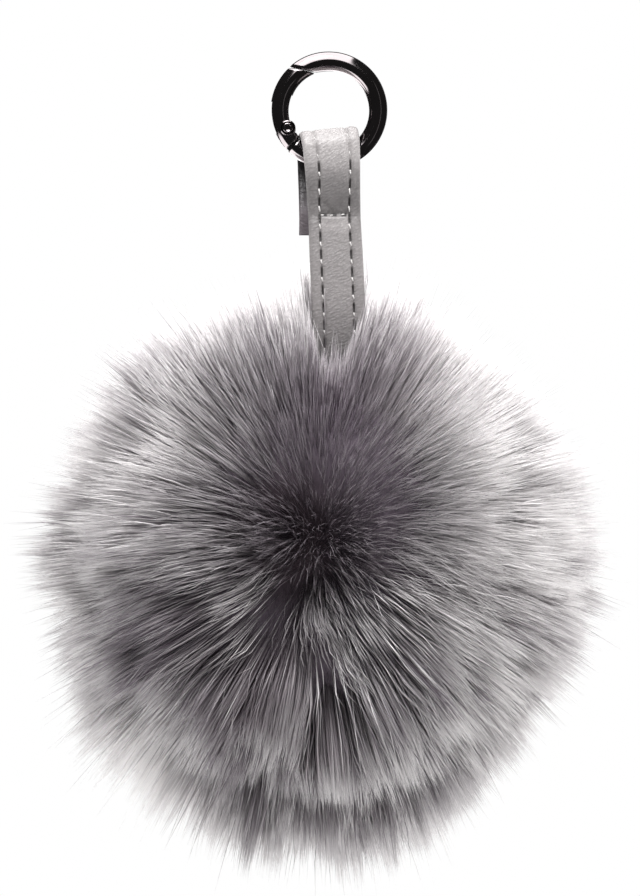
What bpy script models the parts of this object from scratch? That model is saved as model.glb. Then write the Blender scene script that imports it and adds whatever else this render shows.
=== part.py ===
"""Pom pom bag charm: a fur ball on a folded leatherette strap, looped through a round spring-gate ring.

Metres, +Z up. The front faces -Y. The origin is the point at the ring's inner top, where the charm hangs.
"""

import math

import bmesh
import bpy
import numpy as np
from mathutils import Matrix, Vector

MM = 0.001
GAP = 0.3 * MM  # between pieces that touch on the real charm
UP = Vector((0, 0, 1))

# Spring-gate ring, in the XZ plane. Angles run anticlockwise from +X, seen from the front.
RING_OUTER_R = 15.0 * MM
BAR_THIN_R = 2.30 * MM
BAR_THICK_R = 2.55 * MM
THICKEST_AT = math.radians(135)
ARC_STEP = math.radians(6.5)
BAR_RINGS = 5  # bevel resolution of the bar: 14 sides
SHOULDER_AT = math.radians(225.6)  # where the body's bar begins
HEEL_AT = math.radians(223.0)  # where the gate's bar ends
GATE_INSET = 0.08 * MM  # the gate's bar is this much slimmer
NOSE_TIP = Vector((-3.0, 0, 9.6)) * MM  # inner end of the slanted seam, from the ring's centre
NOSE_SLANT = math.radians(11)
SEAM_REACH = 12 * MM  # side of the block that cuts the seam
SEAM_PAST_TIP = 1.5 * MM  # how far that block runs past the nose's tip
NOSE_UNCUT_AT = math.radians(136)  # end of the body's bar before its nose is cut
GATE_UNCUT_AT = math.radians(100)  # start of the gate's bar before its tip is cut

# Hinge of the gate
PIN = Vector((-10.5, 0, -4.74)) * MM  # from the ring's centre
PIN_R = 0.8 * MM
HEAD_R = 1.3 * MM
HEAD_FROM = 2.3 * MM
HEAD_TO = 2.85 * MM
BOSS_R = 2.0 * MM
BOSS_FACE = 2.6 * MM
BOSS_FLOOR = 2.0 * MM  # bottom of the recess that takes a rivet head
TONGUE_HALF = 0.8 * MM
TONGUE_R = 1.95 * MM
TONGUE_IN_R = 10.7 * MM
TONGUE_OUT_R = 14.6 * MM
TONGUE_ROOT_TURN = math.radians(3)  # how far the tongue reaches into the shoulder
TONGUE_TOP_TURN = math.radians(1.6)  # clearance under the solid part of the gate
SLOT_LENGTH = 8 * MM
SLOT_ACROSS = 9 * MM
ROUND_SIDES = 24

# Strap: one strip, up the front, over the ring's bar and down behind
STRAP_WIDTH = 14.0 * MM
STRAP_THICK = 1.5 * MM
STRAP_COLUMNS = 5
STRAP_SPACING = 2.4 * MM
CURVE_STEPS = 12
STRAP_CROWN = 0.25 * MM
FRONT_LEAN = 0.03  # how far the front layer moves to +X for each unit that it goes down
FRONT_TOP_X = 1.4 * MM  # middle of the front layer beside the ring
TAIL_X = -0.7 * MM  # middle of the tail behind
TAIL_END_Z = -42.0 * MM
FOLD_Z = -21.0 * MM
LAYERS_PART_Z = -24.0 * MM  # below this the front layer and the tail are straight runs
FOLD_HALF_DEPTH = 3.85 * MM
FOLD_RISE = 5.25 * MM
# Front layer from its lower end up to the fold: height, depth of its middle
FRONT_PATH = [
    (-90.5 * MM, 0.0 * MM),
    (-78.0 * MM, -0.3 * MM),
    (-60.0 * MM, -0.9 * MM),
    (-46.0 * MM, -1.2 * MM),
    (-40.0 * MM, -1.3 * MM),
    (-36.8 * MM, -0.95 * MM),  # cross stitch
    (-32.5 * MM, -2.0 * MM),
    (-27.0 * MM, -3.3 * MM),
    (-24.0 * MM, -3.78 * MM),
]
# Tail behind, from the fold down: height, depth of its middle
TAIL_PATH = [
    (-24.0 * MM, 3.78 * MM),
    (-27.0 * MM, 3.3 * MM),
    (-32.5 * MM, 2.0 * MM),
    (-36.8 * MM, 0.95 * MM),
    (TAIL_END_Z, 1.3 * MM),
]

# Fur ball
BALL_CENTRE = Vector((0, 0, -127)) * MM
CORE_R = 36 * MM
CELLS = 7  # squares along each side of the cube that the core is blown up from
LATTICE_TURN = math.radians(17)
LATTICE_TILT = math.radians(5)
WHORL = Vector((-0.065, -0.99, 0.12)).normalized()  # parting of the fur, in front
COMB = 0.52  # radians that fur leans away from the parting at most
DROOP = 0.20  # radians that tips sink by at the sides
REACH_SIDE = 70 * MM
REACH_TOP = 73 * MM
REACH_BOTTOM = 77 * MM
REACH_LEFT_MORE = 4 * MM
LENGTH_SCATTER = 0.05
ROOT_INSET = 0.01  # on the unit ball; the first level then sets the root's true size
# Levels of a lock: share of its length, share of its cell that it fills, share of a cell it strays by
LOCK_LEVELS = [
    (0.00, 0.90, 0.00),
    (0.38, 0.74, 0.07),
    (0.76, 0.52, 0.13),
    (1.00, 0.16, 0.22),
]
STRAP_CLEAR_X = STRAP_WIDTH / 2 + 1.4 * MM
STRAP_CLEAR_Y = 2.4 * MM
SEED = 11


def bar_radius(angle):
    """The bar is thickest at its nose, and thins out towards the lower right."""
    share = (1 + math.cos(angle - THICKEST_AT)) / 2
    return BAR_THIN_R + (BAR_THICK_R - BAR_THIN_R) * share


RING_CENTRE = Vector((0, 0, -(RING_OUTER_R - 2 * bar_radius(math.pi / 2))))


def ring_point(angle, radius):
    """A point of the ring's plane, from the ring's centre."""
    return Vector((radius * math.cos(angle), 0, radius * math.sin(angle)))


def new_collection(name):
    made = bpy.data.collections.new(name)
    bpy.context.scene.collection.children.link(made)
    return made


def finish(name, colour, roughness, metallic):
    made = bpy.data.materials.new(name)
    made.use_nodes = True
    shader = made.node_tree.nodes["Principled BSDF"]
    shader.inputs["Base Color"].default_value = (*colour, 1)
    shader.inputs["Roughness"].default_value = roughness
    shader.inputs["Metallic"].default_value = metallic
    return made


def smooth(obj):
    obj.data.shade_smooth()
    obj.data.set_sharp_from_angle(angle=math.radians(35))


def new_object(name, mesh, collection, parent=None, place=(0, 0, 0)):
    obj = bpy.data.objects.new(name, mesh)
    collection.objects.link(obj)
    obj.parent = parent
    obj.location = place
    return obj


def helper(obj):
    """Marks a cutter or a joined piece, which is no part of its own."""
    obj.hide_render = True
    obj.display_type = "WIRE"
    return obj


def cylinder(name, radius, half_length, place=(0, 0, 0)):
    """A cylinder along Y, as a helper."""
    bm = bmesh.new()
    bmesh.ops.create_cone(
        bm,
        cap_ends=True,
        segments=ROUND_SIDES,
        radius1=radius,
        radius2=radius,
        depth=2 * half_length,
        matrix=Matrix.Rotation(math.pi / 2, 4, "X"),
    )
    mesh = bpy.data.meshes.new(name)
    bm.to_mesh(mesh)
    bm.free()
    return helper(new_object(name, mesh, helpers, None, place))


def block(name, size, place, turn):
    """A box that is turned about Y, as a helper."""
    bm = bmesh.new()
    bmesh.ops.create_cube(bm, size=1, matrix=Matrix.Diagonal((*size, 1)))
    mesh = bpy.data.meshes.new(name)
    bm.to_mesh(mesh)
    bm.free()
    obj = helper(new_object(name, mesh, helpers, None, place))
    obj.rotation_euler = (0, turn, 0)
    return obj


def boolean(obj, other, operation):
    modifier = obj.modifiers.new(other.name, "BOOLEAN")
    modifier.operation = operation
    modifier.object = other


def arc_bar(name, start, end, slimmer, origin):
    """Round bar along the ring from one angle to another, as a mesh with welded caps."""
    steps = math.ceil((end - start) / ARC_STEP)
    curve = bpy.data.curves.new(name, "CURVE")
    curve.dimensions = "3D"
    curve.bevel_depth = BAR_THICK_R
    curve.bevel_resolution = BAR_RINGS
    curve.use_fill_caps = True
    spline = curve.splines.new("POLY")
    spline.points.add(steps)
    for i, point in enumerate(spline.points):
        angle = start + (end - start) * i / steps
        bar = bar_radius(angle) - slimmer
        middle = ring_point(angle, RING_OUTER_R - bar_radius(angle))
        point.co = (*(middle - origin), 1)
        point.radius = bar / BAR_THICK_R
    guide = bpy.data.objects.new(name + "_guide", curve)
    helpers.objects.link(guide)
    graph = bpy.context.evaluated_depsgraph_get()
    mesh = bpy.data.meshes.new_from_object(guide.evaluated_get(graph))
    bpy.data.objects.remove(guide)
    mesh.name = name
    bm = bmesh.new()
    bm.from_mesh(mesh)
    bmesh.ops.remove_doubles(bm, verts=bm.verts, dist=0.001 * MM)
    bmesh.ops.recalc_face_normals(bm, faces=bm.faces)
    bm.to_mesh(mesh)
    bm.free()
    return new_object(name, mesh, charm, ring, origin)


def seam_block(name, above, origin):
    """A block whose face is the slanted seam between nose and gate: above it, or below it."""
    side = 1 if above else -1
    across = Vector((math.cos(NOSE_SLANT), 0, -math.sin(NOSE_SLANT)))
    normal = Vector((math.sin(NOSE_SLANT), 0, math.cos(NOSE_SLANT)))
    height = SEAM_REACH / 2
    middle = NOSE_TIP - across * (SEAM_REACH / 2 - SEAM_PAST_TIP) + normal * side * height / 2
    if above:
        middle -= normal * GAP
    size = (SEAM_REACH, SEAM_REACH, height)
    return block(name, size, middle - origin, NOSE_SLANT)


def tongue_plate():
    """Flat tongue of the body, from its shoulder to the rivet, where its end is round."""
    pin_angle = math.atan2(PIN.z, PIN.x) % (2 * math.pi)
    root_angle = SHOULDER_AT + TONGUE_ROOT_TURN
    steps = 6
    shares = [i / steps for i in range(steps + 1)]
    outline = []
    for radius, top in ((TONGUE_OUT_R, pin_angle + TONGUE_TOP_TURN), (TONGUE_IN_R, pin_angle)):
        edge = [ring_point(top + (root_angle - top) * share, radius) for share in shares]
        outline += edge if radius == TONGUE_OUT_R else reversed(edge)
    bm = bmesh.new()
    corners = [bm.verts.new(p - Vector((0, TONGUE_HALF, 0))) for p in outline]
    face = bm.faces.new(corners)
    raised = bmesh.ops.extrude_face_region(bm, geom=[face])["geom"]
    moved = [v for v in raised if isinstance(v, bmesh.types.BMVert)]
    bmesh.ops.translate(bm, vec=(0, 2 * TONGUE_HALF, 0), verts=moved)
    bmesh.ops.recalc_face_normals(bm, faces=bm.faces)
    mesh = bpy.data.meshes.new("tongue_plate")
    bm.to_mesh(mesh)
    bm.free()
    return helper(new_object("tongue_plate", mesh, helpers))


def make_ring_body():
    """Body of the ring: the round bar, its nose cut on the slant, and the tongue that carries the gate."""
    body = arc_bar("ring_body", SHOULDER_AT, 2 * math.pi + NOSE_UNCUT_AT, 0, Vector())
    cutters = [
        (seam_block("nose_cut", False, Vector()), "DIFFERENCE"),
        (tongue_plate(), "UNION"),
        (cylinder("tongue_end", TONGUE_R, TONGUE_HALF, PIN), "UNION"),
        (cylinder("tongue_hole", PIN_R + GAP, 2 * TONGUE_HALF, PIN), "DIFFERENCE"),
    ]
    for cutter, operation in cutters:
        cutter.parent = ring
        boolean(body, cutter, operation)
    body.data.materials.append(metal)
    smooth(body)


def make_ring_gate():
    """Gate of the ring, with its origin on the hinge: the curved bar, its bosses, and the slot for the tongue."""
    gate = arc_bar("ring_gate", GATE_UNCUT_AT, HEEL_AT, GATE_INSET, PIN)
    pin_angle = math.atan2(PIN.z, PIN.x)
    slot_half = TONGUE_HALF + GAP
    slot_end_r = TONGUE_R + GAP
    slot_size = (SLOT_ACROSS, 2 * slot_half, SLOT_LENGTH)
    along = Vector((-math.sin(pin_angle), 0, math.cos(pin_angle)))
    slot_middle = along * SLOT_LENGTH / 2
    recess_half = HEAD_TO - BOSS_FLOOR
    recess_y = BOSS_FLOOR + recess_half
    cutters = [
        (seam_block("gate_cut", True, PIN), "DIFFERENCE"),
        (cylinder("boss", BOSS_R, BOSS_FACE), "UNION"),
        (block("slot", slot_size, slot_middle, -pin_angle), "DIFFERENCE"),
        (cylinder("slot_end", slot_end_r, slot_half), "DIFFERENCE"),
        (cylinder("pin_hole", PIN_R + GAP, 2 * BOSS_FACE), "DIFFERENCE"),
    ]
    for side in (-1, 1):
        place = (0, side * recess_y, 0)
        recess = cylinder(f"recess_{side}", HEAD_R + GAP, recess_half, place)
        cutters.append((recess, "DIFFERENCE"))
    for cutter, operation in cutters:
        cutter.parent = gate
        boolean(gate, cutter, operation)
    gate.data.materials.append(metal)
    smooth(gate)


def make_rivet():
    """Rivet of the hinge: a pin with a flat head at each end, turned about Y."""
    profile = [
        (0, HEAD_TO),
        (HEAD_R, HEAD_TO),
        (HEAD_R, HEAD_FROM),
        (PIN_R, HEAD_FROM),
        (PIN_R, -HEAD_FROM),
        (HEAD_R, -HEAD_FROM),
        (HEAD_R, -HEAD_TO),
        (0, -HEAD_TO),
    ]
    bm = bmesh.new()
    points = [bm.verts.new((x, 0, z)) for x, z in profile]
    for a, b in zip(points, points[1:]):
        bm.edges.new((a, b))
    mesh = bpy.data.meshes.new("gate_rivet")
    bm.to_mesh(mesh)
    bm.free()
    rivet = new_object("gate_rivet", mesh, charm, ring, PIN)
    rivet.rotation_euler = (math.pi / 2, 0, 0)
    screw = rivet.modifiers.new("turn", "SCREW")
    screw.axis = "Z"
    screw.steps = screw.render_steps = ROUND_SIDES
    screw.use_merge_vertices = True
    screw.merge_threshold = 0.01 * MM
    rivet.data.materials.append(metal)


def smooth_curve(points, spacing):
    """Points at even spacing along a curve through the given 2D points (Catmull-Rom)."""
    known = np.array(points)
    ends = [2 * known[0] - known[1]], [2 * known[-1] - known[-2]]
    held = np.concatenate([ends[0], known, ends[1]])
    t = np.linspace(0, 1, CURVE_STEPS, endpoint=False)[:, None]
    parts = []
    for a, b, c, d in zip(held, held[1:], held[2:], held[3:]):
        bend = 2 * a - 5 * b + 4 * c - d
        flow = 3 * (b - c) + d - a
        parts.append(0.5 * (2 * b + (c - a) * t + bend * t**2 + flow * t**3))
    dense = np.concatenate([*parts, known[-1:]])
    length = np.concatenate([[0], np.cumsum(np.linalg.norm(np.diff(dense, axis=0), axis=1))])
    even = np.linspace(0, length[-1], round(length[-1] / spacing) + 1)
    return np.stack([np.interp(even, length, dense[:, i]) for i in (0, 1)], 1)


def front_middle(z):
    """X of the front layer's middle at a height."""
    return FRONT_TOP_X + FRONT_LEAN * (LAYERS_PART_Z - z)


def strap_middle(z, y):
    """X of the strap's middle: the front layer leans, and the tail behind sits further left."""
    share = min(max((y / FOLD_HALF_DEPTH + 1) / 2, 0), 1)
    if z < LAYERS_PART_Z:
        behind = y > GAP and z > TAIL_END_Z - GAP
        share = 1.0 if behind else 0.0
    return front_middle(z) + (TAIL_X - FRONT_TOP_X) * share


def make_strap():
    """Strap: an open strip along its path, given its thickness both ways from the middle."""
    turns = np.linspace(0, math.pi, 11)[1:-1]
    fold = [
        (FOLD_Z + FOLD_RISE * math.sin(a), -FOLD_HALF_DEPTH * math.cos(a)) for a in turns
    ]
    path = smooth_curve([*FRONT_PATH, *fold, *TAIL_PATH], STRAP_SPACING)
    slope = np.gradient(path, axis=0)
    bm = bmesh.new()
    rows = []
    for (z, y), (dz, dy) in zip(path, slope):
        out = Vector((0, -dz, dy)).normalized()
        row = []
        for share in np.linspace(-1, 1, STRAP_COLUMNS):
            crown = STRAP_CROWN * (1 - share**2)
            x = strap_middle(z, y) + share * STRAP_WIDTH / 2
            row.append(bm.verts.new(Vector((x, y, z)) + out * crown))
        rows.append(row)
    for low, high in zip(rows, rows[1:]):
        for i in range(STRAP_COLUMNS - 1):
            bm.faces.new((low[i], low[i + 1], high[i + 1], high[i]))
    mesh = bpy.data.meshes.new("strap")
    bm.to_mesh(mesh)
    bm.free()
    strap = new_object("strap", mesh, charm)
    wall = strap.modifiers.new("thickness", "SOLIDIFY")
    wall.thickness = STRAP_THICK
    wall.offset = 0
    wall.use_even_offset = True
    strap.data.materials.append(leather)
    smooth(strap)


def turned_away(direction, pole, angle):
    """The direction, turned further from the pole by an angle."""
    axis = pole.cross(direction)
    if axis.length < 1e-6:
        return direction.copy()
    return Matrix.Rotation(angle, 3, axis) @ direction


def combed(direction, share):
    """Where fur from this root direction has got to, at a share of its length."""
    theta = WHORL.angle(direction)
    lean = COMB * math.sin(theta) * (1 + math.cos(theta)) / 2 * share**1.3
    led = turned_away(direction, WHORL, lean)
    return turned_away(led, UP, DROOP * math.sin(UP.angle(led)) * share**2)


def fur_reach(direction):
    """Distance of a lock's tip from the ball's centre, longer at the bottom and on the left."""
    vertical = REACH_TOP if direction.z > 0 else REACH_BOTTOM
    reach = REACH_SIDE + (vertical - REACH_SIDE) * abs(direction.z) ** 2
    return reach + REACH_LEFT_MORE * max(-direction.x, 0)


def lattice_ball():
    """A cube split into squares and blown up to a ball of radius 1, so that each square is one lock's root."""
    bm = bmesh.new()
    bmesh.ops.create_cube(bm, size=2)
    bmesh.ops.subdivide_edges(bm, edges=bm.edges[:], cuts=CELLS - 1, use_grid_fill=True)
    turn = Matrix.Rotation(LATTICE_TILT, 3, "Y") @ Matrix.Rotation(LATTICE_TURN, 3, "Z")
    for vert in bm.verts:
        even = Vector([math.tan(c * math.pi / 4) for c in vert.co])
        vert.co = turn @ even.normalized()
    return bm


def lock_point(seed, middle, reach, level, stray):
    """A corner of a lock at one of its levels, from its cell's corner and middle on the unit ball."""
    share, fill, strays = level
    aim = middle + (seed - middle) * fill + stray * strays
    radius = CORE_R + (reach - CORE_R) * share
    return combed(aim.normalized(), share) * radius


def meets_strap(middle, corners, reach, stray):
    """Whether a lock would come too near the strap, which enters the ball from above."""
    for low, high in zip(LOCK_LEVELS, LOCK_LEVELS[1:]):
        for part in (0, 0.25, 0.5, 0.75, 1):
            level = [a + (b - a) * part for a, b in zip(low, high)]
            for seed in (*corners, middle):
                point = BALL_CENTRE + lock_point(seed, middle, reach, level, stray)
                beside = abs(point.x - front_middle(point.z)) < STRAP_CLEAR_X
                if beside and abs(point.y) < STRAP_CLEAR_Y and point.z > BALL_CENTRE.z:
                    return True
    return False


def kept_clear(middle, corners, reach, stray, cell):
    """The lock's stray, pushed away from the strap as far as it must be, or None where that isn't enough."""
    for push in (0, 0.7, 1.4, 2.1, 2.8, 3.5):
        for across in (0, 1):
            aside = Vector((math.copysign(push * across, middle.x), math.copysign(push, middle.y), 0)) * cell
            if not meets_strap(middle, corners, reach, stray + aside):
                return stray + aside
    return None


def make_pompom():
    """Fur ball: the core's squares are drawn out into locks that lean from the parting and droop."""
    chance = np.random.RandomState(SEED)
    bm = lattice_ball()
    seed_of = bm.verts.layers.float_vector.new("seed")
    for vert in bm.verts:
        vert[seed_of] = vert.co
    locks = []
    for face in bm.faces[:]:
        middle = face.calc_center_median().normalized()
        corners = [v.co.copy() for v in face.verts]
        cell = (corners[0] - corners[2]).length / math.sqrt(2)
        stray = Vector(chance.uniform(-1, 1, 3)) * cell
        reach = fur_reach(combed(middle, 1)) * (1 + chance.uniform(-1, 1) * LENGTH_SCATTER)
        stray = kept_clear(middle, corners, reach, stray, cell)
        if stray is not None:
            locks.append((face, middle, reach, stray))
    bmesh.ops.inset_individual(bm, faces=[lock[0] for lock in locks], thickness=ROOT_INSET)
    for vert in bm.verts:
        vert.co = vert[seed_of].normalized() * CORE_R
    for face, middle, reach, stray in locks:
        for number, level in enumerate(LOCK_LEVELS):
            if number:
                face = bmesh.ops.extrude_discrete_faces(bm, faces=[face])["faces"][0]
            for vert in face.verts:
                vert.co = lock_point(vert[seed_of], middle, reach, level, stray)
    mesh = bpy.data.meshes.new("pompom")
    bm.to_mesh(mesh)
    bm.free()
    ball = new_object("pompom", mesh, charm, None, BALL_CENTRE)
    ball.data.materials.append(fur)


for old in list(bpy.data.objects):
    bpy.data.objects.remove(old)

charm = new_collection("pom_pom")
helpers = new_collection("cutters")
fur = finish("grey_fur", (0.30, 0.28, 0.29), 0.8, 0.0)
leather = finish("grey_leatherette", (0.46, 0.43, 0.43), 0.5, 0.0)
metal = finish("dark_polished_metal", (0.24, 0.20, 0.21), 0.12, 1.0)

ring = bpy.data.objects.new("ring_centre", None)
charm.objects.link(ring)
ring.location = RING_CENTRE

make_ring_body()
make_ring_gate()
make_rivet()
make_strap()
make_pompom()
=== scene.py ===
"""Looks of a fur ball bag charm: long frosted pile on a stuffed ball, a stitched strap and a spring ring.

All lengths are in metres, +Z is up and -Y is the front. Angles round the ring are measured in its plane,
from +X towards +Z. Every surface is a grid of points, and every hair is a thin closed needle.
"""

import math

import bpy
import numpy as np
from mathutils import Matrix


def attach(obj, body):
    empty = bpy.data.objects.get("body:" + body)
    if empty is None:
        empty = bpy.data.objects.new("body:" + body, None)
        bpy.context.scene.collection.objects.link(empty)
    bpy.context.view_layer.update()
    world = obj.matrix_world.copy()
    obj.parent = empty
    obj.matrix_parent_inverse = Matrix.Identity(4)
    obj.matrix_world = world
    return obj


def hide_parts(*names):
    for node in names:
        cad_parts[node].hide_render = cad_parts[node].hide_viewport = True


MM = 0.001
GAP = 0.3 * MM
UP = np.array([0.0, 0.0, 1.0])

# The ring, as in the frame.
RING_OUTER_R = 15.0 * MM
BAR_THIN_R = 2.30 * MM
BAR_THICK_R = 2.55 * MM
THICKEST_AT = math.radians(135)
SHOULDER_AT = math.radians(225.6)
HEEL_AT = math.radians(223.0)
GATE_INSET = 0.08 * MM
SEAM_ACROSS = math.radians(79)  # direction of the seam's normal
SEAM_TIP = np.array([-3.0, 0.0, 9.6]) * MM  # inner end of the seam, from the ring's centre
PIN = np.array([-10.5, 0.0, -4.74]) * MM  # from the ring's centre
PIN_R = 0.8 * MM
RIVET_HEAD = [  # radius and depth in millimetres: a dished face, a round rim, and down the side
    (0.62, 2.66),
    (0.74, 2.70),
    (0.84, 2.79),
    (0.96, 2.85),
    (1.10, 2.84),
    (1.21, 2.76),
    (1.28, 2.64),
    (1.3, 2.5),
    (1.3, 2.3),
]
BOSS_FACE = 2.6  # the gate's bosses and the recesses in them are in millimetres as well
BOSS_EDGE = [(1.74, 0.0), (1.84, 0.05), (1.93, 0.15), (2.0, 0.35)]  # radius, set back from the face
RECESS = [(1.48, 2.0), (1.54, 2.3), (1.62, 2.5), (1.76, 2.61), (1.76, 3.2)]
PIN_HOLE_HALF = 4 * MM  # half the length of the cutter, which goes right through
SHARP_FROM = math.radians(32)  # edges of the cut metal that turn by more stay sharp
TONGUE_HALF = 0.8 * MM
TONGUE_R = 1.95 * MM
TONGUE_IN_R = 10.7 * MM
TONGUE_OUT_R = 14.6 * MM
TONGUE_ROOT_AT = SHOULDER_AT + math.radians(3)
SLOT_LENGTH = 8 * MM
SLOT_ACROSS = 9 * MM
NOSE_BEVEL = (0.85 * MM, 0.34 * MM)  # along the bar and into it
TIP_BEVEL = (0.35 * MM, 0.28 * MM)
SHOULDER_BEVEL = (0.42 * MM, 0.36 * MM)

# The strap, as in the frame.
STRAP_WIDTH = 14.0 * MM
STRAP_THICK = 1.5 * MM
TAIL_X = -0.9 * MM
STRAP_SHAPE = [  # height, x of the front layer's middle, half its width, in millimetres
    (-95.0, 3.6, 6.90),
    (-63.8, 2.7, 6.85),
    (-56.0, 2.3, 6.88),
    (-47.6, 1.9, 6.85),
    (-38.0, 1.45, 6.70),
    (-30.5, 1.15, 6.87),
    (-22.8, 0.85, 7.15),
    (-16.0, 0.45, 7.45),
]
TAIL_END_Z = -42.0 * MM
FOLD_Z = -21.0 * MM
LAYERS_PART_Z = -24.0 * MM
FOLD_HALF_DEPTH = 3.85 * MM
FOLD_RISE = 5.25 * MM
CROSS_STITCH_Z = -36.8 * MM
SEAM_FROM_MIDDLE = 3.95 * MM
STITCH_PITCH = 4.55 * MM
STITCH_LENGTH = 1.15 * MM
STITCH_R = 0.19 * MM
WORN_STITCH_R = 0.10 * MM  # over the fold, above this height
WORN_ABOVE_Z = -24.0 * MM
STITCH_SLANT = 0.12 * MM  # each end is this far off the seam
STITCH_SINK = 0.3 * MM
CROSS_STITCH_R = 0.20 * MM
CROSS_STITCHES = [  # in millimetres: each one's two places across the strap, and the rise of its two ends
    (-3.6, -3.0, 0.0, 0.05),
    (-1.1, -0.6, -0.15, 0.0),
    (1.9, 2.5, 0.1, 0.25),
]
CROWN = 0.28 * MM  # the strap's middle stands this far proud of its margins
BACK_OF_MAP = 30 * MM  # the strap's map has its back this far beside its front
# Rows of how far down the strap, as a share of SHADE_LENGTH, and how light it is there, as painted light and
# shade:
# light on the fold, which faces up, shade where the strap leans back above the cross stitch, a painted
# highlight on the bulge below it, and shade further down, where the strap goes in among the fur.
SHADE_FROM = 15 * MM  # below the point where the charm hangs
SHADE_LENGTH = 60 * MM
MIDDLE_SHADE = [
    (0.01, 0.90),
    (0.09, 0.96),
    (0.125, 0.87),
    (0.165, 0.77),
    (0.20, 0.60),
    (0.24, 0.50),
    (0.28, 0.45),
    (0.36, 0.40),
    (0.373, 0.57),
    (0.388, 0.96),
    (0.405, 0.92),
    (0.434, 0.77),
    (0.47, 0.71),
    (0.75, 0.71),
    (0.85, 0.62),
    (0.95, 0.44),
]
MARGIN_SHADE = [
    (0.01, 0.88),
    (0.09, 0.92),
    (0.125, 0.84),
    (0.165, 0.66),
    (0.20, 0.54),
    (0.24, 0.45),
    (0.28, 0.45),
    (0.36, 0.50),
    (0.39, 0.51),
    (0.43, 0.64),
    (0.47, 0.70),
    (0.75, 0.70),
    (0.85, 0.60),
    (0.95, 0.44),
]
# Painted shade on the back of the tail, which lies behind the front layer, deepest up towards the fold.
TAIL_SHADE = [(0.20, 0.13), (0.24, 0.18), (0.28, 0.32), (0.315, 0.52), (0.355, 0.9), (0.39, 1.0)]
STEP = 0.5 * MM  # between the rows of points along the strap
FRONT_PATH = [  # height and depth of the strap's middle, in millimetres
    (-90.5, 0.0),
    (-78.0, -0.3),
    (-60.0, -0.9),
    (-46.0, -1.2),
    (-40.0, -1.3),
    (-36.8, -0.95),
    (-32.5, -2.0),
    (-27.0, -3.3),
    (-24.0, -3.78),
]
TAIL_PATH = [
    (-24.0, 3.78),
    (-27.0, 3.3),
    (-32.5, 2.0),
    (-36.8, 0.95),
    (-42.0, 1.3),
]

# The fur.
BALL_CENTRE = np.array([0.0, 0.0, -127.0]) * MM
SKIN_R = 30 * MM  # where the pile is rooted
GROUND_R = 45 * MM  # densest part of the pile, which nothing is seen through
REACH_SIDE = 70 * MM
REACH_TOP = 77 * MM
REACH_BOTTOM = 79 * MM
REACH_LEFT_MORE = 6 * MM
PARTING = [(-0.16, -0.92, 0.36), (-0.15, -0.98, 0.12)]  # its ends, as directions from the ball's centre
COMB_BELOW = math.radians(70)  # most that hair leans below the parting
COMB_ABOVE = math.radians(36)
COMB_RISE = (math.radians(9), math.radians(13))  # below the parting and above it
COMB_REACH = math.radians(108)  # from here on hair stands upright
DROOP = 0.14
STRAP_SHOWS_TO = -77 * MM
STRAP_Y = -0.6 * MM  # depth of the strap's middle where it is among the hair
CLEAR_BESIDE = 8.2 * MM  # no hair comes nearer to the strap's middle line than this, in x
CLEAR_DEPTH = 1.9 * MM  # and this, in y
CLEAR_ABOVE_Z = -92 * MM
LOBES = 80
TUFTS = 700
WISPS = 5600
HAIRS = 145000
HAIR_R = 0.115 * MM  # where a hair is thickest, at this share of its length
THICKEST = 0.80
MAP_WIDTH = 0.004  # half the width of a hair in its map, which gives its faces an area there
PANELS = 5
SEED = 7
# Painted light: hairs seen edge-on round the ball are this much lighter, as if lit from behind.
PAINTED_RIM_LIGHT = 0.22
# Soft patches on the front of the ball: x and z in millimetres from its centre, spread in radians, amount.
SPOTS_LIE_AT = 76  # millimetres from the ball's centre
# Lighter or darker hair by where its tip lies: partly the fur's own tone, and partly painted light and shade,
# lighter where the lamps fall on the upper left and the right, darker under the fringe and beneath the tufts.
PAINTED_LIGHT_AND_TONE_SPOTS = [
    (-52, 28, 0.30, 0.18),
    (-50, 46, 0.22, 0.26),
    (-40, 16, 0.20, 0.26),
    (-34, -12, 0.18, 0.34),
    (-58, -26, 0.28, -0.58),
    (2, -36, 0.14, 0.40),
    (-28, -14, 0.18, 0.26),
    (28, -4, 0.20, 0.22),
    (-12, 74, 0.16, 0.34),
    (-28, -26, 0.20, 0.38),
    (-50, -56, 0.18, 0.30),
    (-74, -10, 0.22, 0.20),
    (-28, -54, 0.20, -0.80),
    (-16, -74, 0.20, 0.20),
    (-14, 14, 0.22, -0.12),
    (-12, -30, 0.22, 0.56),
    (10, -14, 0.20, 0.34),
    (12, -36, 0.22, 0.66),
    (2, -60, 0.18, -0.30),
    (16, -52, 0.18, -0.50),
    (36, -38, 0.18, -0.66),
    (50, -42, 0.18, 0.26),
    (38, -2, 0.22, 0.30),
    (44, 38, 0.34, 0.32),
    (60, 4, 0.36, 0.26),
    (2, 58, 0.24, -0.42),
    (40, 62, 0.25, 0.20),
    (30, 20, 0.24, -0.10),
]
ROOT_TONE_SPOTS = [
    (-4, -16, 0.32, 0.40),
    (14, -12, 0.24, 0.36),
    (-20, -18, 0.24, 0.46),
]
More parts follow.
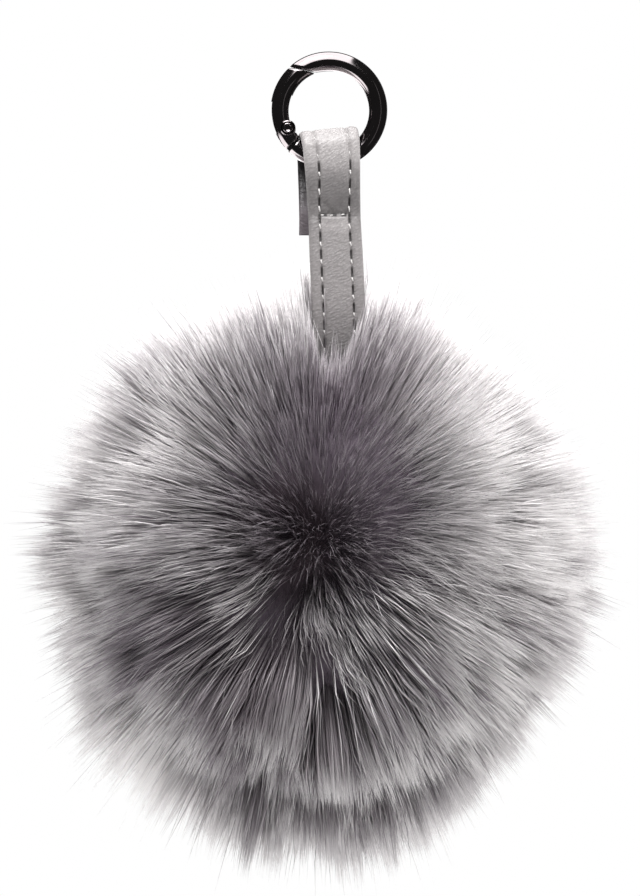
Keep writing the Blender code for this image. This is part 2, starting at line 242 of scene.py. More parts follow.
# How far the frost comes down the hairs whose tips lie there: partly the fur's own frosting, and partly
# painted light on the right and top right, and painted shade low down, under the fringe and beneath the tufts
# on the left.
FROST_AND_PAINTED_LIGHT_SPOTS = [
    (-56, 24, 0.36, 0.20),
    (44, 40, 0.42, 0.26),
    (60, 0, 0.36, 0.14),
    (4, -28, 0.32, 0.38),
    (-30, -22, 0.20, 0.34),
    (0, -66, 0.34, -0.34),
    (-24, -52, 0.20, -0.40),
    (-52, -58, 0.18, 0.20),
    (-58, -26, 0.24, -0.22),
]
LENGTH_SPOTS = [
    (0, -8, 0.26, 0.12),
    (-22, -44, 0.22, -0.20),
    (-16, -22, 0.20, -0.12),
    (8, -50, 0.20, -0.16),
    (32, -38, 0.20, -0.16),
    (-45, -24, 0.25, -0.06),
    (-9, 9, 0.16, -0.22),
    (75, -2, 0.22, -0.07),
    (60, 46, 0.34, -0.11),
    (38, 66, 0.24, -0.12),
    (58, -50, 0.38, -0.28),
    (-38, -66, 0.28, -0.20),
    (-44, 62, 0.26, -0.10),
    (-66, 38, 0.22, -0.09),
    (-58, -48, 0.20, 0.05),
]
# Painted shade in the hollow at the parting: hairs rooted there keep little of their frost.
HOLLOW_SHADE_SPOTS = [(-8, 15, 0.17, 0.8), (-10, 0, 0.15, 0.6)]
CALM_SPOTS = [(6, 40, 0.44, 0.9)]
MESSY_SPOTS = [(-8, 14, 0.22, 0.8), (30, 12, 0.25, 0.6), (36, -26, 0.2, 0.4)]
FRINGE_SPOTS = [(-2, -14, 0.5, 1.0)]
GROUND_SPOTS = [(6, 48, 0.56, 9 * MM), (-9, 3, 0.32, -12 * MM), (-5, -16, 0.30, -5 * MM)]
GROUND_FLATTER = 11 * MM  # on top, where the strap comes in
PIT = np.array([-9.0, -36.0, -118.0]) * MM  # dark hollow beside the parting, where shade is painted on the ground


class Wire:
    """A shader socket. Each operator on it adds a Math node."""

    def __init__(self, nodes, socket):
        self.nodes = nodes
        self.socket = socket

    def maths(self, operation, *values):
        return self.nodes.node("ShaderNodeMath", {"operation": operation}, *values)

    def __add__(self, other):
        return self.maths("ADD", self, other)

    __radd__ = __add__

    def __sub__(self, other):
        return self.maths("SUBTRACT", self, other)

    def __rsub__(self, other):
        return self.maths("SUBTRACT", other, self)

    def __mul__(self, other):
        return self.maths("MULTIPLY", self, other)

    __rmul__ = __mul__

    def __truediv__(self, other):
        return self.maths("DIVIDE", self, other)

    def __pow__(self, other):
        return self.maths("POWER", self, other)

    def __neg__(self):
        return self * -1

    def or_more(self, other):
        """The greater of the two."""
        return self.maths("MAXIMUM", self, other)

    def wrapped(self, length):
        return self.maths("FLOORED_MODULO", self, length)

    def size(self):
        return self.maths("ABSOLUTE", self)

    def sine(self):
        return self.maths("SINE", self)


class Nodes:
    """A node tree, whose nodes all come from node()."""

    def __init__(self, tree):
        self.tree = tree

    def node(self, kind, settings, *values, out=0, **named):
        """Adds a node: its settings first, then the values or links of its sockets. Returns one output."""
        made = self.tree.nodes.new(kind)
        for name, value in settings.items():
            if name == "stops":
                self.set_stops(made.color_ramp, value)
            else:
                setattr(made, name, value)
        for place, value in [*enumerate(values), *named.items()]:
            if isinstance(place, str):
                place = place.replace("_", " ")
            self.feed(made.inputs[place], value)
        return Wire(self, made.outputs[out])

    def feed(self, socket, value):
        if isinstance(value, Wire):
            self.tree.links.new(value.socket, socket)
        elif value is not None:
            socket.default_value = value

    def set_stops(self, ramp, stops):
        while len(ramp.elements) < len(stops):
            ramp.elements.new(0.5)
        for element, (place, colour) in zip(ramp.elements, stops):
            element.position = place
            element.color = (*colour, 1)

    def ramp(self, value, stops):
        return self.node("ShaderNodeValToRGB", {"stops": stops}, value)

    def grey_ramp(self, value, stops):
        return self.ramp(value, [(place, (grey,) * 3) for place, grey in stops])

    def ease(self, value, low, high):
        """0 where the value is under low, 1 where it is over high, and smooth between."""
        settings = {"interpolation_type": "SMOOTHSTEP"}
        return self.node("ShaderNodeMapRange", settings, value, low, high, 0.0, 1.0)

    def mixed(self, factor, a, b):
        """Colours a and b mixed by a factor."""
        made = self.node("ShaderNodeMix", {"data_type": "RGBA"}, out=2)
        for place, value in ((0, factor), (6, a), (7, b)):
            self.feed(made.socket.node.inputs[place], value)
        return made

    def noise(self, place, scale, detail=2.0, roughness=0.5):
        """Cloudy noise from 0 to 1."""
        return self.node(
            "ShaderNodeTexNoise", {}, Vector=place, Scale=scale, Detail=detail, Roughness=roughness
        )

    def parts(self, vector):
        """The X, Y and Z of a vector."""
        split = self.node("ShaderNodeSeparateXYZ", {}, vector)
        return [Wire(self, output) for output in split.socket.node.outputs]


class Finish(Nodes):
    """A material under construction, round the shader that it is named and made with."""

    def __init__(self, name, **constants):
        self.material = bpy.data.materials.new(name)
        self.material.use_nodes = True
        super().__init__(self.material.node_tree)
        self.shader = self.tree.nodes["Principled BSDF"]
        for socket, value in constants.items():
            self.shader.inputs[socket.replace("_", " ")].default_value = value

    def set(self, socket, value):
        """Feeds one of the shader's own sockets."""
        self.feed(self.shader.inputs[socket], value)

    def object_place(self):
        return self.node("ShaderNodeTexCoord", {}, out="Object")

    def map_place(self, name):
        return self.node("ShaderNodeUVMap", {"uv_map": name})

    def bump(self, height, strength, distance):
        made = self.node(
            "ShaderNodeBump", {}, Strength=strength, Distance=distance, Height=height, out="Normal"
        )
        self.set("Normal", made)


def unit(vectors):
    """Vectors along the last axis, each divided by its length."""
    return vectors / np.maximum(np.linalg.norm(vectors, axis=-1, keepdims=True), 1e-12)


def bell(value, width):
    """1 where the value is 0, falling off both ways like a bell."""
    return np.exp(-((value / width) ** 2))


def new_piece(name, points, faces, material):
    """A smooth mesh object from points and a list of arrays of faces, one for each number of corners."""
    mesh = bpy.data.meshes.new(name)
    corners = np.concatenate([f.ravel() for f in faces]).astype(np.int32)
    sizes = np.concatenate([np.full(len(f), f.shape[1]) for f in faces])
    starts = np.concatenate([[0], np.cumsum(sizes)[:-1]]).astype(np.int32)
    mesh.vertices.add(len(points))
    mesh.vertices.foreach_set("co", np.asarray(points, np.float32).ravel())
    mesh.loops.add(len(corners))
    mesh.loops.foreach_set("vertex_index", corners)
    mesh.polygons.add(len(starts))
    mesh.polygons.foreach_set("loop_start", starts)
    mesh.update(calc_edges=True)
    mesh.validate()
    mesh.shade_smooth()
    piece = bpy.data.objects.new(name, mesh)
    bpy.context.scene.collection.objects.link(piece)
    mesh.materials.append(material)
    return piece


def add_map(piece, name, places):
    """A UV map from an array with one row for each face corner."""
    layer = piece.data.uv_layers.new(name=name, do_init=False)
    layer.uv.foreach_set("vector", np.asarray(places, np.float32).ravel())


def tube_faces(rows, around):
    """Quads between the rows of a grid whose columns close on themselves, numbered row by row."""
    row = np.arange(rows - 1)[:, None] * around
    column = np.arange(around)[None, :]
    after = (column + 1) % around
    above = row + around
    return np.stack([row + column, row + after, above + after, above + column], -1).reshape(-1, 4)


def tube_mesh(grid):
    """Points, quads and end triangles of a tube from rows of points round it, closed on middle points."""
    rows, around = grid.shape[:2]
    points = np.concatenate([grid.reshape(-1, 3), grid[[0, -1]].mean(axis=1)])
    low = np.arange(around)
    high = low[::-1] + (rows - 1) * around
    ends = [(low, rows * around), (high, rows * around + 1)]
    triangles = np.concatenate([np.stack([np.roll(r, -1), r, np.full(around, m)], -1) for r, m in ends])
    quads = tube_faces(rows, around)
    if volume_of(points, quads, triangles) < 0:
        return points, quads[:, ::-1], triangles[:, ::-1]
    return points, quads, triangles


def closed_tube(name, grid, material):
    points, quads, triangles = tube_mesh(grid)
    return new_piece(name, points, [quads, triangles], material)


def volume_of(points, quads, triangles):
    """Signed volume inside a closed mesh: a sixth of the sum of its triangles' triple products."""
    all_triangles = np.concatenate([quads[:, [0, 1, 2]], quads[:, [0, 2, 3]], triangles])
    a, b, c = (points[all_triangles[:, i]] for i in range(3))
    return np.einsum("ij,ij->i", a, np.cross(b, c)).sum() / 6


# ---------------------------------------------------------------- camera, studio


def aim(obj, target):
    """Turns an object so that its -Z axis points at a target."""
    away = np.array(obj.location) - np.array(target)
    flat = math.hypot(away[0], away[1])
    obj.rotation_euler = (math.atan2(flat, away[2]), 0, math.atan2(away[0], -away[1]))


VIEW_HEIGHT = 0.2297  # at the charm, 1 m away
AIMED_AT = (0, 0, -0.1)


def make_camera():
    """Straight-on camera."""
    lens = bpy.data.cameras.new("camera")
    lens.sensor_fit = "VERTICAL"
    lens.sensor_height = 36
    lens.lens = 36 / VIEW_HEIGHT
    lens.clip_start = 0.01
    lens.clip_end = 20
    camera = bpy.data.objects.new("camera", lens)
    bpy.context.scene.collection.objects.link(camera)
    camera.location = (-2.26 * MM, -1.0, -96.6 * MM)
    camera.rotation_euler = (math.pi / 2, 0, 0)
    bpy.context.scene.camera = camera


def make_light(name, place, size, power, mirrored=False):
    """A soft light. One that isn't mirrored doesn't show in what shines."""
    lamp = bpy.data.lights.new(name, "AREA")
    lamp.shape = "RECTANGLE"
    lamp.size, lamp.size_y = size
    lamp.energy = power
    light = bpy.data.objects.new(name, lamp)
    bpy.context.scene.collection.objects.link(light)
    light.location = place
    light.visible_glossy = mirrored
    aim(light, AIMED_AT)


def make_world():
    """A white backdrop to look at, and a dimmer studio to be lit by.

    What shines reflects a third one, which is dark. It has a white card below on the left, another low
    behind, a softbox above in front, and a dim strip on the right.
    """
    world = bpy.data.worlds.new("studio")
    bpy.context.scene.world = world
    world.use_nodes = True
    made = Nodes(world.node_tree)
    x, y, z = made.parts(made.node("ShaderNodeTexCoord", {}, out="Generated"))
    ease = made.ease
    sweep = ease(-z - x * 0.12, 0.44, 0.54) * ease(y, -0.50, -0.38) * ease(-x, -0.36, -0.26)
    behind = ease(y, 0.84, 0.92) * ease(-z, 0.03, 0.12) * ease(-x, 0.0, 0.08)
    softbox = ease(z, 0.24, 0.30) * ease(y, -0.95, -0.91) * ease(-y, -0.62, -0.54)
    softbox = softbox * ease(z * 0.42 - x, -0.03, 0.02) * ease(x + z * 0.72, -0.03, 0.03)
    strip = ease(x, 0.55, 0.57) * ease(-x, -0.62, -0.60) * ease(z.size() * -1, -0.5, -0.3)
    shine = sweep.or_more(behind) * 4.2 + softbox * 4.6 + strip * 0.5 + 0.035
    light = 0.24 + ease(z, -0.5, 0.9) * 0.90 + ease(y, 0.0, 1.0) * 0.30 + ease(x, -0.2, 1.0) * 0.15
    path = made.node("ShaderNodeLightPath", {})
    rays = ("Is Camera Ray", "Is Glossy Ray")
    sees, shines = (Wire(made, path.socket.node.outputs[name]) for name in rays)
    strength = light * 0.62 * (1 - shines) + shine * shines
    strength = strength * (1 - sees) + sees
    background = world.node_tree.nodes["Background"]
    background.inputs["Color"].default_value = (1, 1, 1, 1)
    made.feed(background.inputs["Strength"], strength)


def make_studio():
    """The world, soft lights, and a pale round floor far below, which doesn't show in what shines."""
    make_world()
    make_light("key", (-0.20, -0.50, 0.80), (0.45, 0.35), 12, mirrored=True)
    make_light("top", (0.05, 0.2, 0.85), (0.6, 0.5), 11)
    make_light("fill", (0.8, -0.6, 0.1), (0.6, 0.8), 5)
    make_light("back_left", (-0.75, 0.45, 0.0), (0.5, 0.9), 5)
    make_light("back_right", (0.75, 0.45, 0.0), (0.5, 0.9), 8)
    angle = np.linspace(0, 2 * math.pi, 96, endpoint=False)
    edge = np.stack([3.0 * np.cos(angle), 3.0 * np.sin(angle)], -1)
    grid = np.stack([np.insert(edge, 2, height, axis=1) for height in (-0.6, -0.62)])
    pale = Finish("pale_floor", Roughness=0.8)
    cloud = pale.noise(pale.object_place(), 3.0)
    pale.set("Base Color", pale.grey_ramp(cloud, [(0, 0.80), (1, 0.84)]))
    floor = closed_tube("floor", grid, pale.material)
    floor.data.shade_flat()
    floor.visible_glossy = False


# ---------------------------------------------------------------- finishes


def fur_finish():
    """Pile that is dark at its roots and frosted at its tips.

    The map's U is how light a hair is, with painted light and shade as well as its own tone in it, and V says
    how far its frost has come at that point, which painted light and shade also move in places.
    """
    made = Finish("frosted_fur", Specular_IOR_Level=0.5)
    light, along, _ = made.parts(made.map_place("Strand"))
    dark_hair = [
        (0.0, (0.078, 0.057, 0.071)),
        (0.4, (0.094, 0.072, 0.090)),
        (0.75, (0.108, 0.085, 0.106)),
        (1.0, (0.180, 0.150, 0.175)),
    ]
    light_hair = [
        (0.0, (0.120, 0.096, 0.112)),
        (0.35, (0.215, 0.188, 0.204)),
        (0.7, (0.450, 0.425, 0.434)),
        (1.0, (0.970, 0.945, 0.940)),
    ]
    colour = made.mixed(light, made.ramp(along, dark_hair), made.ramp(along, light_hair))
    made.set("Base Color", colour)
    made.set("Roughness", 0.34 + along * 0.2)
    return made.material


def ground_finish():
    """The soft depth of the pile, with painted shade in its hollow."""
    made = Finish("pile_depth", Specular_IOR_Level=0.2, Roughness=0.9)
    place = made.object_place()
    streaks = made.node("ShaderNodeMapping", {}, Vector=place, Scale=(1.0, 1.0, 0.25))
    cloud = made.noise(streaks, 700.0, 3.0)
    soft = made.ramp(cloud, [(0.3, (0.064, 0.050, 0.064)), (0.7, (0.108, 0.088, 0.107))])
    # Painted shade round the pit beside the parting.
    x, y, z = made.parts(made.node("ShaderNodeVectorMath", {"operation": "SUBTRACT"}, place, tuple(PIT)))
    pit_shade = 1 - made.ease((x**2 + y**2 + z**2) ** 0.5, 8 * MM, 24 * MM)
    made.set("Base Color", made.mixed(pit_shade, soft, (0.040, 0.028, 0.034, 1)))
    made.bump(cloud, 0.8, 0.001)
    return made.material


BLACK = (0, 0, 0, 1)


def strap_finish(cross_at):
    """Warm grey leatherette with a slanting grain and a darker back, and painted light and shade down its
    length, painted shade in the stitch dents, along the seams and between the cross stitches, and more on the
    back.

    The map is in metres: U across, with the back BACK_OF_MAP further over, and V along.
    """
    made = Finish("grey_leatherette", Specular_IOR_Level=0.5)
    place = made.map_place("Strip")
    across, along, _ = made.parts(place)
    slanted = made.node(
        "ShaderNodeMapping",
        {"vector_type": "TEXTURE"},
        Vector=place,
        Rotation=(0, 0, math.radians(30)),
        Scale=(2.2, 1.0, 1.0),
    )
    pebble = made.node(
        "ShaderNodeTexVoronoi", {"feature": "SMOOTH_F1"}, Vector=slanted, Scale=2300.0, Smoothness=0.5
    )
    crease = made.noise(slanted, 1700.0, 3.0, 0.65)
    cloud = made.noise(made.object_place(), 120.0, 3.0)
    tone = made.ramp(cloud, [(0.25, (0.330, 0.310, 0.309)), (0.75, (0.390, 0.368, 0.365))])
    worn = made.mixed(made.ease(crease, 0.45, 0.75) * 0.5, tone, (0.230, 0.212, 0.215, 1))
    worn = made.mixed(made.ease(pebble, 0.5, 0.2) * 0.35, worn, (0.520, 0.490, 0.487, 1))
    # Painted light and shade down the strap, in its middle and at its margins. Once it is mixed in, worn
    # holds this painted shade as well as the grain.
    level = (-made.parts(made.object_place())[2] - SHADE_FROM) / SHADE_LENGTH
    in_middle, at_margins = (made.grey_ramp(level, table) for table in (MIDDLE_SHADE, MARGIN_SHADE))
    shade = made.mixed(made.ease(across.size(), 3.4 * MM, 4.2 * MM), in_middle, at_margins)
    worn = made.mixed(shade, BLACK, worn)
    # Painted shade: a dark dash in the dent past each stitch's thread, below the fold, and a darker line
    # along the sunk seams.
    to_seam = (across.size() - SEAM_FROM_MIDDLE).size()
    stage = along.wrapped(STITCH_PITCH)
    dent = made.ease(stage, STITCH_LENGTH - 0.1 * MM, STITCH_LENGTH + 0.25 * MM)
    dent = dent * made.ease(-stage, -4.3 * MM, -3.2 * MM) * made.ease(level, 0.07, 0.16)
    dark = dent * (1 - made.ease(to_seam, 0.14 * MM, 0.36 * MM))
    groove = 1 - made.ease(to_seam, 0.0, 0.25 * MM)
    # Painted shade in the holes between the threads of the cross stitch.
    to_cross = (along - cross_at).size()
    gaps = made.ease((across * 2400 + 1.81).sine(), -0.3, 0.3)
    inside = 1 - made.ease(across.size(), 3.3 * MM, 3.8 * MM)
    cross = (1 - made.ease(to_cross, 0.3 * MM, 0.5 * MM)) * inside
    dark = dark.or_more(cross * gaps)
    # The back is a darker backing, painted in deeper shade up towards the fold.
    back = made.ease(across, 14 * MM, 16 * MM)
    behind = made.mixed(made.grey_ramp(level, TAIL_SHADE), BLACK, (0.115, 0.098, 0.108, 1))
    plain = made.mixed(back, worn, behind)
    # Painted shade along the sunk seam lines, on the front.
    plain = made.mixed(groove * 0.35 * (1 - back), plain, (0.10, 0.09, 0.09, 1))
    # Painted shade, nearly black, in the stitch dents and between the cross stitches.
    made.set("Base Color", made.mixed(dark * 0.93, plain, (0.012, 0.010, 0.010, 1)))
    made.set("Roughness", 0.36 + crease * 0.24)
    made.bump((0.6 - pebble) * 0.6 + crease - dark * 1.2, 0.75, 0.00022)
    return made.material


def thread_finish():
    """Pale waxed thread, twisted from strands, with painted shade in the grooves between them.
    The map's U runs round the thread and V along it.
    """
    made = Finish("pale_thread", Specular_IOR_Level=0.4, Roughness=0.5)
    around, along, _ = made.parts(made.map_place("Twist"))
    twist = ((around * 3 + along * 2.2).wrapped(1) - 0.5).size() * 2
    # Painted shade: darker down the middle of each groove of the twist.
    made.set("Base Color", made.ramp(twist, [(0.0, (0.42, 0.40, 0.39)), (0.5, (0.82, 0.80, 0.785))]))
    made.bump(twist, 0.6, 0.0001)
    return made.material


def metal_finish():
    """Polished black nickel, with hairlines and a little handling wear in its gloss."""
    made = Finish("black_nickel", Metallic=1.0)
    place = made.object_place()
    cloud = made.noise(place, 160.0, 3.0)
    fine = made.noise(place, 2500.0, 2.0)
    tone = made.ramp(cloud, [(0.3, (0.205, 0.184, 0.188)), (0.7, (0.240, 0.218, 0.222))])
    made.set("Base Color", tone)
    made.set("Roughness", 0.05 + cloud * 0.05 + fine * 0.04)
    made.bump(fine, 0.08, 0.00002)
    return made.material


# ---------------------------------------------------------------- the ring


def bar_radius(angle):
    """The bar is thickest at its nose: a cosine between the thin and the thick radius."""
    share = (1 + np.cos(angle - THICKEST_AT)) / 2
    return BAR_THIN_R + (BAR_THICK_R - BAR_THIN_R) * share


RING_CENTRE = np.array([0, 0, -(RING_OUTER_R - 2 * float(bar_radius(math.pi / 2)))])
HINGE = PIN + RING_CENTRE
PIN_AT = math.atan2(PIN[2], PIN[0]) % (2 * math.pi)


def ring_point(angle, distance, y):
    """A point at an angle and a distance from the ring's centre."""
    return np.stack([distance * np.cos(angle), y + 0 * angle, distance * np.sin(angle)], -1) + RING_CENTRE


def bevel_rows(bevel, rows=5):
    """A bar's last rows, a quarter of an ellipse: how far each is set back, and how much slimmer."""
    turn = np.linspace(0, math.pi / 2, rows)
    return [(bevel[0] * (1 - math.sin(t)), bevel[1] * (1 - math.cos(t))) for t in turn]


def bar_grid(start_at, end_at, slimmer, bevels, rows, around=56):
    """Round bar between two planes, as rows of points round it.

    start_at and end_at give the ring angle at which a point at some distance from the ring's centre meets
    the plane, set back by a length. The rows between them divide that angle evenly.
    """
    about = np.linspace(0, 2 * math.pi, around, endpoint=False)
    low = [(0.0, setback, shrink) for setback, shrink in bevel_rows(bevels[0])[::-1]]
    high = [(1.0, setback, shrink) for setback, shrink in bevel_rows(bevels[1])]
    middle = [(share, None, 0.0) for share in np.linspace(0, 1, rows)[1:-1]]
    grid = []
    for share, setback, shrink in [*low, *middle, *high]:
        angle = np.full(around, start_at(12 * MM, 0) * (1 - share) + end_at(12 * MM, 0) * share)
        for _ in range(4):
            bar = bar_radius(angle)
            thick = bar - slimmer - shrink
            distance = RING_OUTER_R - bar + thick * np.cos(about)
            first = start_at(distance, bevels[0][0] if setback is None else setback)
            last = end_at(distance, bevels[1][0] if setback is None else setback)
            angle = first * (1 - share) + last * share
        grid.append(ring_point(angle, distance, 0) + thick[:, None] * np.sin(about)[:, None] * [0, 1, 0])
    return np.array(grid)


def turned(name, profile, place, material=None, around=48):
    """A solid of revolution about a line along Y through a place, from radii and depths in millimetres."""
    radius, depth = (np.array(profile) * MM).T
    angle = np.linspace(0, 2 * math.pi, around, endpoint=False)
    radius, depth = radius[:, None], depth[:, None]
    grid = np.stack([radius * np.cos(angle), depth + 0 * angle, radius * np.sin(angle)], -1)
    return closed_tube(name, grid + place, material)


def cylinder(radius, half):
    """Profile of a plain cylinder, in millimetres, from its radius and half its length in metres."""
    return [(radius / MM, -half / MM), (radius / MM, half / MM)]


def prism(name, outline, half, material=None):
    """A plate between -half and half in depth, from an outline in the ring's plane."""
    outline = np.asarray(outline)
    grid = np.stack([outline + [0, -half, 0], outline + [0, half, 0]])
    return closed_tube(name, grid, material)


def combined(piece, others):
    """Joins to the piece, or cuts from it, each other solid in turn. It keeps its material."""
    material = piece.data.materials[0]
    for other, operation in others:
        modifier = piece.modifiers.new(other.name, "BOOLEAN")
        modifier.operation = operation
        modifier.object = other
        modifier.solver = "MANIFOLD"
    graph = bpy.context.evaluated_depsgraph_get()
    made = bpy.data.meshes.new_from_object(piece.evaluated_get(graph))
    piece.modifiers.clear()
    old = piece.data
    piece.data = made
    bpy.data.meshes.remove(old)
    for other, _ in others:
        bpy.data.objects.remove(other)
    made.materials.clear()
    made.materials.append(material)
    made.shade_smooth()
    made.set_sharp_from_angle(angle=SHARP_FROM)


def radial_end(angle, side):
    """A plane through the ring's centre: set back, it moves along the bar to one side."""

    def meets(distance, setback):
        return angle + side * np.arcsin(setback / distance)

    return meets


def seam_end(drop, side, turns=0):
    """The slanted seam, moved down by a drop: set back, it moves up into the nose or down into the gate."""
    level = SEAM_TIP[0] * math.cos(SEAM_ACROSS) + SEAM_TIP[2] * math.sin(SEAM_ACROSS) - drop
    first = SEAM_ACROSS + 2 * math.pi * turns

    def meets(distance, setback):
        return first + np.arccos(np.clip((level + side * setback) / distance, -1, 1))

    return meets


def make_body():
    """Ring body: a bar from its shoulder to its slanted nose, and a tongue with a hole for the rivet."""
    ends = (radial_end(SHOULDER_AT, 1), seam_end(0, 1, 1))
    grid = bar_grid(*ends, 0, (SHOULDER_BEVEL, NOSE_BEVEL), 170)
    body = closed_tube("ring_body_polished", grid, metal)
    outer = np.linspace(PIN_AT + math.radians(1.6), TONGUE_ROOT_AT, 24)
    inner = np.linspace(TONGUE_ROOT_AT, PIN_AT, 24)
    outline = np.concatenate([ring_point(outer, TONGUE_OUT_R, 0), ring_point(inner, TONGUE_IN_R, 0)])
    combined(
        body,
        [
            (prism("tongue_plate", outline, TONGUE_HALF), "UNION"),
            (turned("tongue_end", cylinder(TONGUE_R, TONGUE_HALF), HINGE), "UNION"),
            (turned("tongue_hole", cylinder(PIN_R + GAP, PIN_HOLE_HALF), HINGE), "DIFFERENCE"),
        ],
    )
    return body


def make_gate():
    """Gate: a bar from the seam to its heel, with bosses and recesses round the rivet, and a slot."""
    ends = (seam_end(GAP, -1), radial_end(HEEL_AT, -1))
    grid = bar_grid(*ends, GATE_INSET, (TIP_BEVEL, SHOULDER_BEVEL), 100)
    gate = closed_tube("ring_gate_polished", grid, metal)
    boss = [(r, set_back - BOSS_FACE) for r, set_back in BOSS_EDGE]
    boss += [(r, -depth) for r, depth in boss[::-1]]
    out = np.array([math.cos(PIN_AT), 0, math.sin(PIN_AT)])
    # This slot runs up the bar from the rivet. The CAD's runs the other way, down to the heel.
    up_bar = np.array([math.sin(PIN_AT), 0, -math.cos(PIN_AT)])
    corners = [(-1, 0), (1, 0), (1, 1), (-1, 1)]
    slot = [HINGE + out * a * SLOT_ACROSS / 2 + up_bar * b * SLOT_LENGTH for a, b in corners]
    slot_half = TONGUE_HALF + GAP
    cuts = [
        (turned("boss", boss, HINGE), "UNION"),
        (prism("slot", slot, slot_half), "DIFFERENCE"),
        (turned("slot_end", cylinder(TONGUE_R + GAP, slot_half), HINGE), "DIFFERENCE"),
        (turned("pin_hole", cylinder(PIN_R + GAP, PIN_HOLE_HALF), HINGE), "DIFFERENCE"),
    ]
    for side in (-1, 1):
        cutter = turned(f"recess_{side}", [(r, side * depth) for r, depth in RECESS], HINGE)
        cuts.append((cutter, "DIFFERENCE"))
    combined(gate, cuts)
    return gate


def make_rivet():
    """Rivet through gate and tongue: a pin with a dished head at each end."""
    front = [(r, -depth) for r, depth in RIVET_HEAD]
    pin = [(PIN_R / MM, depth) for depth in (front[-1][1], RIVET_HEAD[-1][1])]
    rivet = turned("gate_rivet_polished", [*front, *pin, *RIVET_HEAD[::-1]], HINGE, metal)
    rivet.data.set_sharp_from_angle(angle=math.radians(40))
    return rivet


def make_ring():
    """The three pieces of the ring, each in its CAD node's place and on its body."""
    for piece, node, mover in (
        (make_body(), "ring_body", "root"),
        (make_gate(), "ring_gate", "gate"),
        (make_rivet(), "gate_rivet", "root"),
    ):
        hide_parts(node)
        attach(piece, mover)


# ---------------------------------------------------------------- the strap


def smooth_curve(points, spacing):
    """Points at even spacing along a curve through the given points (Catmull-Rom)."""
    known = np.array(points)
    held = np.concatenate([[2 * known[0] - known[1]], known, [2 * known[-1] - known[-2]]])
    t = np.linspace(0, 1, 16, endpoint=False)[None, :, None]
    a, b, c, d = (held[i : len(held) - 3 + i, None] for i in range(4))
    bend = 2 * a - 5 * b + 4 * c - d
    flow = 3 * (b - c) + d - a
    dense = (0.5 * (2 * b + (c - a) * t + bend * t**2 + flow * t**3)).reshape(-1, 2)
    dense = np.concatenate([dense, known[-1:]])
    length = np.concatenate([[0], np.cumsum(np.linalg.norm(np.diff(dense, axis=0), axis=1))])
    even = np.linspace(0, length[-1], round(length[-1] / spacing) + 1)
    return np.stack([np.interp(even, length, dense[:, i]) for i in (0, 1)], 1)


def strap_shape(z):
    """X of the front layer's middle and half the strap's width, at each height."""
    heights, middles, halves = (np.array(STRAP_SHAPE) * MM).T
    return np.interp(z, heights, middles), np.interp(z, heights, halves)


def fold_tilt(z):
    """How much the fold rises towards the right: it fades out down the strap."""
    share = np.clip((z + 34 * MM) / (14 * MM), 0, 1)
    return 0.10 * share * share * (3 - 2 * share)


def sideways(across, z):
    """Place beside the strap's middle of a point of its section, pulled to the right below the fold."""
    pull = 0.85 * MM * bell(z + 25 * MM, 7 * MM)
    half = STRAP_WIDTH / 2
    return (across + pull * (1 - (across / half) ** 2)) * strap_shape(z)[1] / half


def strap_middle(z, y):
    """X of the strap's middle: the front layer leans, and the tail behind sits further left."""
    share = np.clip((y / FOLD_HALF_DEPTH + 1) / 2, 0, 1)
    behind = (y > GAP) & (z > TAIL_END_Z - GAP)
    share = np.where(z < LAYERS_PART_Z, behind, share)
    front = strap_shape(z)[0]
    return front + (TAIL_X - front) * share


def strap_path():
    """The strap's middle line as height and depth, from its lower end up, over the ring and down behind."""
    turns = np.linspace(0, math.pi, 11)[1:-1]
    fold = np.stack([FOLD_Z + FOLD_RISE * np.sin(turns), -FOLD_HALF_DEPTH * np.cos(turns)], 1)
    front, tail = np.array(FRONT_PATH) * MM, np.array(TAIL_PATH) * MM
    return smooth_curve([*front, *fold, *tail], STEP)


def strap_frame(path):
    """For each point of the path: the strap's middle in space there, and the direction out of its face."""
    z, y = path.T
    slope = np.gradient(path, axis=0)
    middle = np.stack([strap_middle(z, y), y, z], 1)
    return middle, unit(np.stack([0 * z, -slope[:, 0], slope[:, 1]], 1))


def crown_at(across):
    return CROWN * (1 - (across / (STRAP_WIDTH / 2)) ** 2)


def strap_relief(across, z, y, length):
    """Height of the outer face over a flat one: crown, sunk seams, and the creases round the cross stitch."""
    stage = np.mod(length, STITCH_PITCH) / STITCH_PITCH
    pinch = 0.24 + 0.22 * np.sin(math.pi * np.clip((stage - 0.25) / 0.6, 0, 1))
    seam = -pinch * MM * bell(np.abs(across) - SEAM_FROM_MIDDLE, 0.42 * MM)
    roll = 0.20 * MM * bell(np.abs(across) - 5.6 * MM, 0.9 * MM)
    front = y < 0.2 * MM
    above = z - CROSS_STITCH_Z
    inside = np.clip(1 - (np.abs(across) / (4.2 * MM)) ** 6, 0, 1)
    dent = -0.55 * MM * bell(above, 0.5 * MM) * inside
    sag = -0.45 * MM * bell(above, 3.6 * MM) * (above > 0) * inside
    bulge = 0.55 * MM * bell(above + 1.25 * MM, 0.75 * MM) * inside
    fan = across / (2.0 * MM + 0.55 * np.maximum(above, 0))
    folds = 0.22 * MM * np.cos(fan * 5.2 + 0.7) * bell(above - 2.8 * MM, 1.9 * MM) * inside
    return crown_at(across) + seam + roll + front * (dent + sag + bulge + folds)


